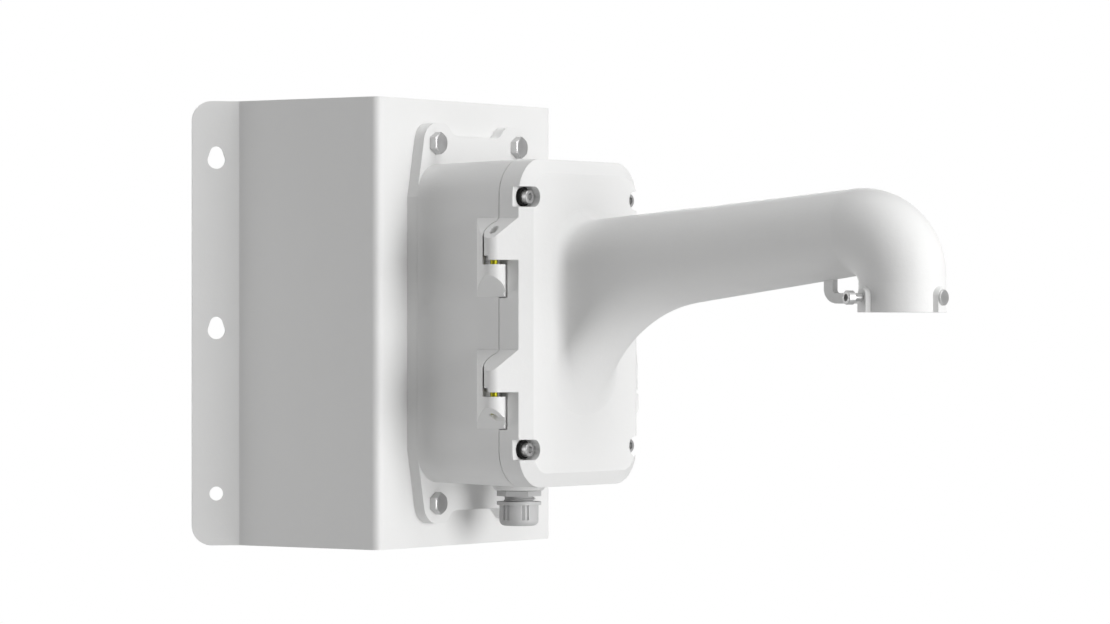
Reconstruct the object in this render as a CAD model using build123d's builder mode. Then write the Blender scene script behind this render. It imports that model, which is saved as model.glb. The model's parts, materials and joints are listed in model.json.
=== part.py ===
from build123d import *
from math import acos, atan, atan2, cos, degrees, hypot, pi, radians, sin, sqrt, tan
import os

# Corner mount for a camera: a folded corner adapter, a cast junction box and a hinged cover with its arm.
# Frame: the edge where the two building walls meet is the Z axis, the arm points along -Y, Z is up.
# A depth is a distance in front of the adapter panel's outer face.

# Corner adapter, one folded sheet
SHEET = 2.5
ADAPTER_HEIGHT = 300.0
ADAPTER_WIDTH = 200.0
SIDE_DEPTH = 117.5
BEND_RADIUS = 5.3
FLANGE_BEND_RADIUS = 1.2
FLANGE_WIDTH = 32.0
FLANGE_CORNER = 13.5
FLANGE_HOLE_INSET = 15.5
FLANGE_HOLE_END = 35.0
KEYHOLE_NECK_RADIUS = 4.4
KEYHOLE_BODY_RADIUS = 5.9
KEYHOLE_DROP = 4.8
PLAIN_HOLE_RADIUS = 4.7
PANEL_CABLE_RADIUS = 30.0

# Junction box casting
PLATE_THICKNESS = 8.0
PLATE_OVER_BOLTS = 5.5
EAR_RADIUS = 13.3
EAR_FLAT = 8.5
EAR_ROUND = 9.75
PLATE_SHOULDER = 84.0
PLATE_PROUD = 0.4
BOLT_X = 46.5
BOLT_Z = 120.5
BOX_HALF_WIDTH = 69.2
BOX_HALF_HEIGHT = 108.3
BOX_CORNER = 25.0
BOX_DRAFT = 1.5
BOX_WALL = 6.5
BOX_FLOOR = 6.0
BOX_DEPTH = 76.15
BOX_CABLE_RADIUS = 25.0

# Cover casting and the seam between the two, heights counted from the cover's rim
SEAM_GAP = 0.5
COVER_SIDE_HEIGHT = 15.45
COVER_HEIGHT = 20.95
BEVEL_WIDTH = 9.3
COVER_WALL = 5.5
GASKET_INSET = 3.4
GASKET_WIDTH = 2.1
GASKET_GROOVE = 1.8
GASKET_CLEARANCE = 0.1

# Cover screws in their side pockets, insets counted from the box's rim
SCREW_INSET_X = 10.2
SCREW_INSET_Z = 25.3
POCKET_CUT = 10.4
POCKET_CLEARANCE = 0.5
COVER_BOSS_WALL = 2.6
COVER_SCREW_HEAD_RADIUS = 4.6
COVER_SCREW_HEAD_HEIGHT = 4.5
COVER_SCREW_CORE_RADIUS = 2.4
COVER_SCREW_THREAD = 0.6
COVER_SCREW_CLEARANCE = 0.3
COVER_SCREW_ENGAGEMENT = 2.5
SCREW_BOSS_WALL = 4.0
SCREW_TAP_DEPTH = 14.0
SCREW_SEAL_RADIUS = 6.2
SCREW_SEAL_BORE = 2.55
SCREW_SEAL_THICKNESS = 2.5

# Hinges
HINGE_REACH = 9.2
HINGE_LEAD = 2.35
HINGE_RISE = 43.3
HINGE_HALF_HEIGHT = 26.0
HINGE_RAMP = 0.87
HINGE_REAR = 20.5
HINGE_BACK_RADIUS = 55.0
BODY_KNUCKLE_RADIUS = 7.2
COVER_KNUCKLE_RADIUS = 6.6
SOCKET_WIDENING = 0.25
COVER_KNUCKLE_BOTTOM = -1.85
BODY_KNUCKLE_TOP = -4.75
BODY_BLOCK_LEAD = 2.6
BODY_BLOCK_INSET = 1.8
NOTCH_CLEARANCE = 0.6
NOTCH_LEAD_CLEARANCE = 1.6
PIN_RADIUS = 2.5
PIN_RUNNING_CLEARANCE = 0.06
PIN_BOTTOM = -14.5
LOWER_PIN_BOTTOM = -16.4
PIN_TOP = 8.0
PIN_TOP_GAP = 1.0
PIN_MOUTH_CLEARANCE = 0.5
MOUTH_SLOT_ROOF = -18.1
PIN_CHAMFER = 0.4
RELIEF_HEIGHT = 2.8
RELIEF_INSET = 0.3

# Arm: flared neck, tapering pipe, elbow and collar, lengths counted from the cover's face
ARM_WALL = 4.4
NECK_LENGTH = 97.4
NECK_TOP_AT_FACE = 68.0
NECK_RISE = 0.085
NECK_ROOT_FILLET = 8.0
NECK_UNDER_RADIUS = 93.0
NECK_UNDER_LEAD = 10.5
NECK_SECTIONS = 9
PIPE_RADIUS = 30.8
PIPE_SLOPE = 6.4
ELBOW_RADIUS = 29.0
ELBOW_PIPE_RADIUS = 27.8
ELBOW_INNER_RADIUS = 4.7
ELBOW_SECTIONS = 8
COLLAR_REACH = 244.2
COLLAR_BOTTOM = 6.9
ELBOW_CENTRE_Z = 29.6
THREAD_RADIUS = 23.9
THREAD_LENGTH = 20.0

# Collar pads and lock screws
PAD_RADIUS = 4.8
PAD_DRAFT = 20.0
PAD_LIFT = 1.3
PAD_PROUD = 2.7
LOCK_RISE = 9.3
LOCK_ANGLE = 117.0
FRONT_ANGLE = 3.0
LOCK_CORE_RADIUS = 2.3
LOCK_THREAD = 0.2
LOCK_TIP_RECESS = 0.5
LOCK_HEAD_RADIUS = 4.5
LOCK_HEAD_HEIGHT = 4.8
LOCK_STANDOFF = 6.7
FRONT_HEAD_RADIUS = 5.0
FRONT_HEAD_HEIGHT = 1.7
FRONT_HEAD_CHAMFER = 0.44

# Socket head screws, as shares of the head
HEAD_CHAMFER_SHARE = 0.1
SOCKET_FLATS_SHARE = 0.5
SOCKET_DEPTH_SHARE = 0.5

# Safety rope eye under the arm
EYE_THICKNESS = 6.0
EYE_REACH = 56.4
EYE_LEG = 6.7
EYE_RISE = 5.7
EYE_ROUND = 9.5
EYE_INNER_ROUND = 2.2

# Hexagon bolts, washers and nuts that hold the box to the adapter
BOLT_RADIUS = 4.0
BOLT_CLEARANCE = 0.5
BOLT_HEX_FLATS = 13.0
BOLT_HEAD = 5.3
BOLT_TAIL = 2.0
BOLT_TAIL_CHAMFER = 0.8
HEX_TOP_SHARE = 0.92
HEX_CHAMFER = 30.0
WASHER_RADIUS = 8.0
WASHER_THICKNESS = 1.6
NUT_HEIGHT = 6.5

# Cable gland
GLAND_DEPTH = 43.3
GLAND_BOSS_RADIUS = 17.8
GLAND_BOSS_PROUD = 4.0
GLAND_FOOT_HEIGHT = 2.2
GLAND_FOOT_DRAFT = 32.0
GLAND_PAD_RISE = 0.5
GLAND_THREAD_RADIUS = 11.0
GLAND_HOLE_CLEARANCE = 0.2
GLAND_BORE = 8.0
GLAND_THREAD_CLEARANCE = 0.02
GLAND_GASKET_RADIUS = 12.6
GLAND_GASKET_THICKNESS = 0.4
GLAND_HEX_FLATS = 26.0
GLAND_HEX_HEIGHT = 3.6
GLAND_NECK_HEIGHT = 3.6
GLAND_NECK_RADIUS = 9.6
GLAND_TAIL = 11.0
CAP_RIM_RADIUS = 15.0
CAP_RIM_HEIGHT = 2.3
CAP_RADIUS = 13.2
CAP_RIDGES = 6
CAP_RIDGE_TURN = 6.4
CAP_VALLEY_TURN = 9.5
CAP_VALLEY_END = 11.5
CAP_VALLEY_DEPTH = 1.0
CAP_HEIGHT = 10.0
CAP_NOSE = 4.0
CAP_MOUTH_RADIUS = 7.0
CAP_NOSE_ROUND = 3.6
SEAL_CLEARANCE = 0.2
SEAL_SIDE_GAP = 0.6
SEAL_BORE = 5.0
LOCKNUT_FLATS = 27.0
LOCKNUT_HEIGHT = 4.5

# Values that follow from the ones above
FLANGE_RUN = FLANGE_WIDTH / sqrt(2)
FLANGE_HOLE_RISE = ADAPTER_HEIGHT / 2 - FLANGE_HOLE_END
FOLD_Y = ADAPTER_WIDTH / 2 - SHEET * sqrt(2)
PANEL_Y = FOLD_Y - SIDE_DEPTH
PANEL_GAP = -PANEL_Y
PLATE_TOP = BOLT_Z + PLATE_OVER_BOLTS
BOLT_HOLE_RADIUS = BOLT_RADIUS + BOLT_CLEARANCE
SEAM_DEPTH = BOX_DEPTH + SEAM_GAP
COVER_SIDE_DEPTH = SEAM_DEPTH + COVER_SIDE_HEIGHT
COVER_FACE_DEPTH = SEAM_DEPTH + COVER_HEIGHT
COVER_INSIDE_DEPTH = COVER_FACE_DEPTH - COVER_WALL
SCREW_X = BOX_HALF_WIDTH - SCREW_INSET_X
SCREW_Z = BOX_HALF_HEIGHT - SCREW_INSET_Z
POCKET_DEPTH = COVER_FACE_DEPTH - POCKET_CUT
POCKET_RADIUS = SCREW_SEAL_RADIUS + POCKET_CLEARANCE
SCREW_SEAT_DEPTH = POCKET_DEPTH + SCREW_SEAL_THICKNESS
COVER_SCREW_TAP_RADIUS = COVER_SCREW_CORE_RADIUS + COVER_SCREW_THREAD
COVER_SCREW_HOLE_RADIUS = COVER_SCREW_TAP_RADIUS + COVER_SCREW_CLEARANCE
SCREW_BOSS_RADIUS = COVER_SCREW_TAP_RADIUS + SCREW_BOSS_WALL
HINGE_X = -(BOX_HALF_WIDTH + HINGE_REACH)
HINGE_DEPTH = SEAM_DEPTH + HINGE_LEAD
HINGE_REAR_DEPTH = HINGE_DEPTH - HINGE_REAR
BODY_BLOCK_DEPTH = HINGE_DEPTH + BODY_BLOCK_LEAD
PIN_MOUTH_RADIUS = PIN_RADIUS + PIN_MOUTH_CLEARANCE
NECK_FRONT_DEPTH = COVER_FACE_DEPTH + NECK_LENGTH
COLLAR_DEPTH = COVER_FACE_DEPTH + COLLAR_REACH
PAD_ROOT = (THREAD_RADIUS + ELBOW_PIPE_RADIUS) / 2
PAD_FACE = ELBOW_PIPE_RADIUS + PAD_PROUD
LOCK_Z = COLLAR_BOTTOM + LOCK_RISE
LOCK_TAP_RADIUS = LOCK_CORE_RADIUS + LOCK_THREAD
LOCK_TIP = THREAD_RADIUS + LOCK_TIP_RECESS
EYE_BACK_DEPTH = COLLAR_DEPTH - EYE_REACH
EYE_BOTTOM = COLLAR_BOTTOM + EYE_RISE
GLAND_BOSS_BOTTOM = -BOX_HALF_HEIGHT - GLAND_BOSS_PROUD
GLAND_HOLE_RADIUS = GLAND_THREAD_RADIUS + GLAND_HOLE_CLEARANCE
GLAND_PAD_TOP = (-BOX_HALF_HEIGHT + BOX_WALL + GLAND_PAD_RISE
                 + (BOX_DEPTH - GLAND_DEPTH + GLAND_BOSS_RADIUS) * tan(radians(BOX_DRAFT)))
NECK_REACH = (PIPE_RADIUS + SCREW_X - POCKET_RADIUS) / 2
PIPE_CENTRE_Z = NECK_TOP_AT_FACE + NECK_RISE * NECK_LENGTH - PIPE_RADIUS
LOCK_SEAT = PAD_FACE + LOCK_STANDOFF

os.makedirs("parts", exist_ok=True)


def depth_y(depth):
    """Y of a plane this far in front of the panel."""
    return PANEL_Y - depth


def front_plane(depth):
    """Sketch plane parallel to the panel: local x is X, local y is Z, extrusions go forward."""
    return Plane.XZ.offset(PANEL_GAP + depth)


def save(piece, name):
    piece.label = name
    export_step(piece, f"parts/{name}.step")


def corners(x, z):
    return [(-x, z), (x, z), (-x, -z), (x, -z)]


CORNER_NAMES = ("upper_left", "upper_right", "lower_left", "lower_right")


# Corner adapter: front panel, two sides and two flanges that lie on the building walls
def make_adapter():
    tip_x = ADAPTER_WIDTH / 2 + FLANGE_RUN
    skin_points = [(-tip_x, FOLD_Y + FLANGE_RUN), (-ADAPTER_WIDTH / 2, FOLD_Y), (-ADAPTER_WIDTH / 2, PANEL_Y),
                   (ADAPTER_WIDTH / 2, PANEL_Y), (ADAPTER_WIDTH / 2, FOLD_Y), (tip_x, FOLD_Y + FLANGE_RUN)]
    bends = (FLANGE_BEND_RADIUS, BEND_RADIUS, BEND_RADIUS, FLANGE_BEND_RADIUS)
    with BuildPart() as adapter:
        with BuildSketch(Plane.XY.offset(-ADAPTER_HEIGHT / 2)):
            with BuildLine():
                skin = FilletPolyline(*skin_points, radius=bends)
                offset(skin, amount=SHEET, side=Side.LEFT)
            make_face()
        extrude(amount=ADAPTER_HEIGHT)
        for side in (-1, 1):
            normal = Axis((0, 0, 0), (side, -1, 0))
            flange_edges = adapter.edges().filter_by(normal).group_by(Axis.X)[0 if side < 0 else -1]
            fillet(flange_edges, FLANGE_CORNER)
            hole_run = FLANGE_WIDTH - FLANGE_HOLE_INSET - SHEET * tan(radians(22.5))
            hole_x = side * (ADAPTER_WIDTH / 2 + hole_run / sqrt(2))
            hole_y = FOLD_Y + hole_run / sqrt(2)
            outward = Plane(origin=(hole_x, hole_y, 0), x_dir=(1, side, 0), z_dir=(side, -1, 0))
            with BuildSketch(outward):
                for rise in (FLANGE_HOLE_RISE, 0):
                    with BuildSketch(mode=Mode.PRIVATE) as keyhole:
                        Circle(KEYHOLE_NECK_RADIUS)
                        with Locations((0, -KEYHOLE_DROP)):
                            Circle(KEYHOLE_BODY_RADIUS)
                        make_hull()
                    with Locations((0, rise)):
                        add(keyhole.sketch)
                with Locations((0, -FLANGE_HOLE_RISE)):
                    Circle(PLAIN_HOLE_RADIUS)
            extrude(amount=2 * SHEET, both=True, mode=Mode.SUBTRACT)
        with BuildSketch(front_plane(0)):
            Circle(PANEL_CABLE_RADIUS)
            with Locations(*corners(BOLT_X, BOLT_Z)):
                Circle(BOLT_HOLE_RADIUS)
        extrude(amount=-2 * SHEET, mode=Mode.SUBTRACT)
    return adapter.part


# Outline of the box's mounting plate: four ears with S-shaped inner flanks and straight outer ones
def plate_quadrant():
    """Points of the upper right quarter, from the middle of its top edge to its straight side."""
    ear_top = BOLT_Z + EAR_RADIUS
    drop = PLATE_TOP + 2 * EAR_ROUND - ear_top
    run = sqrt((2 * EAR_ROUND) ** 2 - drop ** 2)
    knee = (BOLT_X - EAR_FLAT, ear_top - EAR_ROUND)
    neck = (knee[0] - run, PLATE_TOP + EAR_ROUND)
    leave = ((knee[0] + neck[0]) / 2, (knee[1] + neck[1]) / 2)
    low = (atan2(-drop, run) - pi / 2) / 2
    hollow = (neck[0] + EAR_ROUND * cos(low), neck[1] + EAR_ROUND * sin(low))
    high = (atan2(drop, -run) + pi / 2) / 2
    swell = (knee[0] + EAR_ROUND * cos(high), knee[1] + EAR_ROUND * sin(high))
    shoulder = (BOX_HALF_WIDTH - BOX_DEPTH * tan(radians(BOX_DRAFT)) + PLATE_PROUD, PLATE_SHOULDER)
    away = (shoulder[0] - BOLT_X, shoulder[1] - BOLT_Z)
    turn = atan2(away[1], away[0]) + acos(EAR_RADIUS / hypot(*away))
    touch = (BOLT_X + EAR_RADIUS * cos(turn), BOLT_Z + EAR_RADIUS * sin(turn))
    middle = (pi / 2 + turn) / 2
    crown = (BOLT_X + EAR_RADIUS * cos(middle), BOLT_Z + EAR_RADIUS * sin(middle))
    return ((neck[0], PLATE_TOP), hollow, leave, swell, (knee[0], ear_top), (BOLT_X, ear_top),
            crown, touch, shoulder)


def box_outline(shrink=0.0):
    """Width, height and corner radius of the box's rim, drawn in by a distance all round."""
    return 2 * (BOX_HALF_WIDTH - shrink), 2 * (BOX_HALF_HEIGHT - shrink), BOX_CORNER - shrink


# Cross-section of the hinge lugs, seen from above; the lug is on the left side of the box
def wall_point(out, depth):
    """Point of a cross-section: distance outside the box's wall, and depth."""
    return (-(BOX_HALF_WIDTH + out), depth_y(depth))


def rear_arc():
    """Arc from the lug's rear edge on the wall to the body knuckle: its middle and where it touches."""
    span = hypot(HINGE_REACH, HINGE_REAR)
    free_radius = HINGE_BACK_RADIUS - BODY_KNUCKLE_RADIUS
    along = (HINGE_BACK_RADIUS ** 2 - free_radius ** 2 + span ** 2) / (2 * span)
    across = sqrt(HINGE_BACK_RADIUS ** 2 - along ** 2)
    centre = Vector((along * HINGE_REACH - across * HINGE_REAR) / span,
                    (along * HINGE_REAR + across * HINGE_REACH) / span)
    towards_knuckle = (Vector(HINGE_REACH, HINGE_REAR) - centre).normalized()
    towards_wall = (centre * -1).normalized()
    middle = centre + (towards_knuckle + towards_wall).normalized() * HINGE_BACK_RADIUS
    touch = centre + towards_knuckle * HINGE_BACK_RADIUS
    return [wall_point(point.X, HINGE_REAR_DEPTH + point.Y) for point in (middle, touch)]


def ramp_outline(bottom, top, ramp_bottom):
    """Lug seen from the front, sloping at its upper end and, where asked, at its lower end."""
    reach = HINGE_REACH + 2 * BODY_KNUCKLE_RADIUS
    inset = BOX_WALL / 2
    drop = HINGE_RAMP * reach
    outer_bottom = bottom + (drop if ramp_bottom else 0)
    outer_top = max(top - drop, outer_bottom)
    points = [(-inset, bottom), (0, bottom), (reach, outer_bottom),
              (reach, outer_top), (0, top), (-inset, top)]
    return [(-(BOX_HALF_WIDTH + out), rise) for out, rise in points]


def make_body_lug():
    middle, touch = rear_arc()
    rear_edge = wall_point(0, HINGE_REAR_DEPTH)
    axis_point = (HINGE_X, depth_y(HINGE_DEPTH))
    with BuildPart() as lug:
        with BuildSketch(Plane.XY.offset(-HINGE_HALF_HEIGHT)):
            with BuildLine():
                ThreePointArc(rear_edge, middle, touch)
                Polyline(touch, axis_point, wall_point(HINGE_REACH, BODY_BLOCK_DEPTH),
                         wall_point(-BODY_BLOCK_INSET, BODY_BLOCK_DEPTH),
                         wall_point(-BODY_BLOCK_INSET, HINGE_REAR_DEPTH), rear_edge)
            make_face()
            with Locations(axis_point):
                Circle(BODY_KNUCKLE_RADIUS)
        extrude(amount=HINGE_HALF_HEIGHT + BODY_KNUCKLE_TOP)
        with BuildSketch(Plane.XY.offset(BODY_KNUCKLE_TOP)):
            with BuildLine():
                ThreePointArc(rear_edge, middle, touch)
                Polyline(touch, axis_point, wall_point(HINGE_REACH, BOX_DEPTH),
                         wall_point(-BODY_BLOCK_INSET, BOX_DEPTH),
                         wall_point(-BODY_BLOCK_INSET, HINGE_REAR_DEPTH), rear_edge)
            make_face()
            with Locations(axis_point):
                Circle(BODY_KNUCKLE_RADIUS + SOCKET_WIDENING, mode=Mode.SUBTRACT)
        extrude(amount=HINGE_HALF_HEIGHT - BODY_KNUCKLE_TOP)
        with BuildSketch(front_plane(0)):
            with BuildLine():
                Polyline(ramp_outline(-HINGE_HALF_HEIGHT, HINGE_HALF_HEIGHT, True), close=True)
            make_face()
        extrude(amount=COVER_FACE_DEPTH, mode=Mode.INTERSECT)
    return lug.part


def make_cover_lug():
    axis_point = (HINGE_X, depth_y(HINGE_DEPTH))
    slope = atan2(COVER_FACE_DEPTH - COVER_SIDE_DEPTH, BEVEL_WIDTH)
    touch = (HINGE_REACH + COVER_KNUCKLE_RADIUS * sin(slope), HINGE_DEPTH + COVER_KNUCKLE_RADIUS * cos(slope))
    inset = BOX_WALL / 2
    with BuildPart() as lug:
        with BuildSketch(Plane.XY.offset(COVER_KNUCKLE_BOTTOM)):
            with BuildLine():
                Polyline(wall_point(-inset, SEAM_DEPTH), wall_point(HINGE_REACH, SEAM_DEPTH), axis_point,
                         wall_point(*touch), wall_point(0, COVER_SIDE_DEPTH),
                         wall_point(-inset, COVER_SIDE_DEPTH), close=True)
            make_face()
            with Locations(axis_point):
                Circle(COVER_KNUCKLE_RADIUS)
        extrude(amount=HINGE_HALF_HEIGHT - COVER_KNUCKLE_BOTTOM)
        with BuildSketch(front_plane(0)):
            with BuildLine():
                Polyline(ramp_outline(COVER_KNUCKLE_BOTTOM, HINGE_HALF_HEIGHT, False), close=True)
            make_face()
        extrude(amount=COVER_FACE_DEPTH, mode=Mode.INTERSECT)
        with BuildSketch(Plane.XY.offset(COVER_KNUCKLE_BOTTOM)):
            with Locations((HINGE_X, depth_y(HINGE_DEPTH - RELIEF_INSET))):
                Rectangle(COVER_KNUCKLE_RADIUS * 2, COVER_KNUCKLE_RADIUS * 2, align=(Align.MAX, Align.MIN))
        extrude(amount=RELIEF_HEIGHT, mode=Mode.SUBTRACT)
    return lug.part


# Junction box: plate with ears, drafted shell, screw bosses, hinge lugs and gland boss
def make_box(body_lug):
    neck, hollow, leave, swell, ear_start, ear_end, crown, touch, shoulder = plate_quadrant()
    with BuildPart() as box:
        with BuildSketch(front_plane(0)):
            with BuildLine():
                Line((0, PLATE_TOP), neck)
                ThreePointArc(neck, hollow, leave)
                ThreePointArc(leave, swell, ear_start)
                Line(ear_start, ear_end)
                ThreePointArc(ear_end, crown, touch)
                Line(touch, shoulder)
                Line(shoulder, (shoulder[0], 0))
                mirror(about=Plane.XZ)
                mirror(about=Plane.YZ)
            make_face()
        extrude(amount=PLATE_THICKNESS)
        with BuildSketch(front_plane(BOX_DEPTH)):
            width, height, corner = box_outline()
            RectangleRounded(width, height, corner)
        extrude(amount=-BOX_DEPTH, taper=BOX_DRAFT)
        with BuildSketch(front_plane(BOX_DEPTH)):
            width, height, corner = box_outline(BOX_WALL)
            RectangleRounded(width, height, corner)
        extrude(amount=-(BOX_DEPTH - BOX_FLOOR), taper=BOX_DRAFT, mode=Mode.SUBTRACT)
        with BuildSketch(front_plane(BOX_FLOOR)):
            for x, z in corners(SCREW_X, SCREW_Z):
                with Locations((x, z)):
                    Circle(SCREW_BOSS_RADIUS)
                with Locations((x + (SCREW_BOSS_RADIUS / 2 if x > 0 else -SCREW_BOSS_RADIUS / 2), z)):
                    Rectangle(SCREW_BOSS_RADIUS, 2 * SCREW_BOSS_RADIUS)
        extrude(amount=BOX_DEPTH - BOX_FLOOR)
        foot_top = GLAND_BOSS_BOTTOM + GLAND_FOOT_HEIGHT
        for amount, taper in ((GLAND_PAD_TOP - foot_top, 0), (-GLAND_FOOT_HEIGHT, GLAND_FOOT_DRAFT)):
            with BuildSketch(Plane.XY.offset(foot_top)):
                with Locations((0, depth_y(GLAND_DEPTH))):
                    Circle(GLAND_BOSS_RADIUS)
            extrude(amount=amount, taper=taper)
        with Locations((0, 0, HINGE_RISE), (0, 0, -HINGE_RISE)):
            add(body_lug)
        with Locations((0, 0, HINGE_RISE), (0, 0, -HINGE_RISE)):
            add(mirror(body_lug, about=Plane.YZ, mode=Mode.PRIVATE))
        with BuildSketch(Plane.XY.offset(GLAND_BOSS_BOTTOM)):
            with Locations((0, depth_y(GLAND_DEPTH))):
                Circle(GLAND_HOLE_RADIUS)
        extrude(amount=GLAND_PAD_TOP - GLAND_BOSS_BOTTOM, mode=Mode.SUBTRACT)
        with BuildSketch(front_plane(0)):
            Circle(BOX_CABLE_RADIUS)
            with Locations(*corners(BOLT_X, BOLT_Z)):
                Circle(BOLT_HOLE_RADIUS)
        extrude(amount=PLATE_THICKNESS, mode=Mode.SUBTRACT)
        with BuildSketch(front_plane(BOX_DEPTH)):
            with Locations(*corners(SCREW_X, SCREW_Z)):
                Circle(COVER_SCREW_TAP_RADIUS)
        extrude(amount=-SCREW_TAP_DEPTH, mode=Mode.SUBTRACT)
        for rise, bottom in ((HINGE_RISE, PIN_BOTTOM), (-HINGE_RISE, LOWER_PIN_BOTTOM)):
            with BuildSketch(Plane.XY.offset(rise + bottom)):
                with Locations((HINGE_X, depth_y(HINGE_DEPTH))):
                    Circle(PIN_RADIUS)
            extrude(amount=BODY_KNUCKLE_TOP - bottom, mode=Mode.SUBTRACT)
        with BuildSketch(Plane.XY.offset(-HINGE_RISE - HINGE_HALF_HEIGHT)):
            with Locations((HINGE_X, depth_y(HINGE_DEPTH))):
                Circle(PIN_MOUTH_RADIUS)
        extrude(amount=HINGE_HALF_HEIGHT + LOWER_PIN_BOTTOM, mode=Mode.SUBTRACT)
        with BuildSketch(Plane.XY.offset(-HINGE_RISE - HINGE_HALF_HEIGHT)):
            with Locations((HINGE_X, depth_y(HINGE_DEPTH))):
                Rectangle(2 * PIN_MOUTH_RADIUS, 2 * BODY_KNUCKLE_RADIUS, align=(Align.CENTER, Align.MAX))
        extrude(amount=HINGE_HALF_HEIGHT + MOUTH_SLOT_ROOF, mode=Mode.SUBTRACT)
    return box.part


# Arm: sections of the flared neck
def neck_section(depth, inset=0.0):
    """Centre height, half width and half height of the neck at a depth."""
    behind = NECK_FRONT_DEPTH - depth
    lead = max(behind - NECK_UNDER_LEAD, 0)
    drop = NECK_UNDER_RADIUS - sqrt(NECK_UNDER_RADIUS ** 2 - lead ** 2)
    front_top = PIPE_CENTRE_Z + PIPE_RADIUS
    front_bottom = PIPE_CENTRE_Z - PIPE_RADIUS
    underside_slope = 2 * tan(radians(PIPE_SLOPE)) - NECK_RISE
    top = front_top - NECK_RISE * behind
    bottom = front_bottom - underside_slope * behind - drop
    return (top + bottom) / 2, PIPE_RADIUS - inset, (top - bottom) / 2 - inset


def neck_stations():
    return [COVER_FACE_DEPTH + NECK_LENGTH * i / NECK_SECTIONS for i in range(NECK_SECTIONS + 1)]


def elbow_section(share, inset):
    """Plane and radius of the elbow's cross-section at a share of the bend.

    The outside bends round one centre and the inside round another, lower and further back, so that the
    inside keeps a radius of its own. Each section lies on a line through the inner centre.
    """
    slope = radians(PIPE_SLOPE)
    turn = (pi / 2 + slope) * share - slope
    outside = ELBOW_RADIUS + ELBOW_PIPE_RADIUS
    back = ELBOW_RADIUS - ELBOW_PIPE_RADIUS - ELBOW_INNER_RADIUS
    inner = Vector(back, back * (1 + sin(slope)) / cos(slope))
    out = Vector(sin(turn), cos(turn))
    along = inner.dot(out)
    reach = sqrt(along ** 2 - inner.length ** 2 + outside ** 2) - along
    hit = inner + out * reach
    if hit.Y < 0:
        reach = (outside - inner.X) / out.X
    elif hit.dot(Vector(cos(slope), sin(slope))) < 0:
        pipe_top = Vector(-sin(slope), cos(slope))
        reach = (outside - inner.dot(pipe_top)) / out.dot(pipe_top)
    centre = inner + out * ((reach + ELBOW_INNER_RADIUS) / 2)
    origin = (0, depth_y(COLLAR_DEPTH - ELBOW_RADIUS + centre.X), ELBOW_CENTRE_Z + centre.Y)
    plane = Plane(origin=origin, x_dir=(1, 0, 0), z_dir=(0, -cos(turn), -sin(turn)))
    return plane, (reach - ELBOW_INNER_RADIUS) / 2 - inset


def make_arm_core(inset):
    """Solid arm from the cover's face to the collar; a positive inset gives the hollow inside it."""
    with BuildPart() as arm:
        for depth in neck_stations():
            centre, half_width, half_height = neck_section(depth, inset)
            with BuildSketch(front_plane(depth)):
                with Locations((0, centre)):
                    Ellipse(half_width, half_height)
        loft()
        centre, half_width, half_height = neck_section(NECK_FRONT_DEPTH, inset)
        elbow = [elbow_section(i / ELBOW_SECTIONS, inset) for i in range(ELBOW_SECTIONS + 1)]
        with BuildSketch(front_plane(NECK_FRONT_DEPTH)):
            with Locations((0, centre)):
                Ellipse(half_width, half_height)
        with BuildSketch(elbow[0][0]):
            Circle(elbow[0][1])
        loft()
        for plane, radius in elbow:
            with BuildSketch(plane):
                Circle(radius)
        loft()
        collar_plane, collar_radius = elbow[-1]
        with BuildSketch(collar_plane):
            Circle(collar_radius)
        extrude(amount=collar_plane.origin.Z - COLLAR_BOTTOM)
    return arm.part


def radial_plane(angle, distance):
    """Plane square to a radius of the collar; the angle is counted from the front towards -X."""
    turn = radians(angle)
    outward = (-sin(turn), -cos(turn), 0)
    origin = (distance * outward[0], depth_y(COLLAR_DEPTH) + distance * outward[1], LOCK_Z)
    return Plane(origin=origin, x_dir=(cos(turn), -sin(turn), 0), z_dir=outward)


def make_pad(angle):
    """Drafted pad for a lock screw, cut off level with the collar's bottom edge."""
    with BuildPart() as pad:
        with BuildSketch(radial_plane(angle, PAD_FACE)):
            with Locations((0, PAD_LIFT)):
                Circle(PAD_RADIUS)
                Rectangle(2 * PAD_RADIUS, LOCK_Z + PAD_LIFT - COLLAR_BOTTOM, align=(Align.CENTER, Align.MAX))
        extrude(amount=PAD_ROOT - PAD_FACE, taper=-PAD_DRAFT)
        with BuildSketch(Plane.XY.offset(COLLAR_BOTTOM)):
            with Locations((0, depth_y(COLLAR_DEPTH))):
                Circle(2 * PAD_FACE)
        extrude(amount=-PAD_FACE, mode=Mode.SUBTRACT)
    return pad.part


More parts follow.
